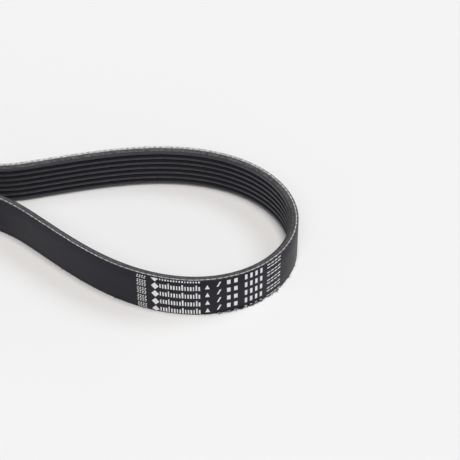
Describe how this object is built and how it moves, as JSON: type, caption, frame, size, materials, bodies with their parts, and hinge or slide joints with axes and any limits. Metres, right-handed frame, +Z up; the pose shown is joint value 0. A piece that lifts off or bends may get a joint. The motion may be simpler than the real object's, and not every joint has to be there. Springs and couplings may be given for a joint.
{
  "type": "serpentine belt",
  "caption": "Endless ribbed rubber drive belt standing on its cut edge, V ribs inside and a smooth back outside, laid as a long loop with a rounded bend at each end.",
  "frame": {"origin": "middle of the loop, on the surface that the lower cut edge stands on", "axes": "+Z up across the belt's width; +X along the straight strands; the smooth backs of the strands face +Y and -Y"},
  "size_m": [0.9494, 0.1312, 0.0249],
  "materials": {
    "belt_rubber": "matte black moulded rubber, slightly greyer on the cut edges"
  },
  "bodies": {
    "root": {"belt": "belt_rubber"}
  },
  "joints": []
}
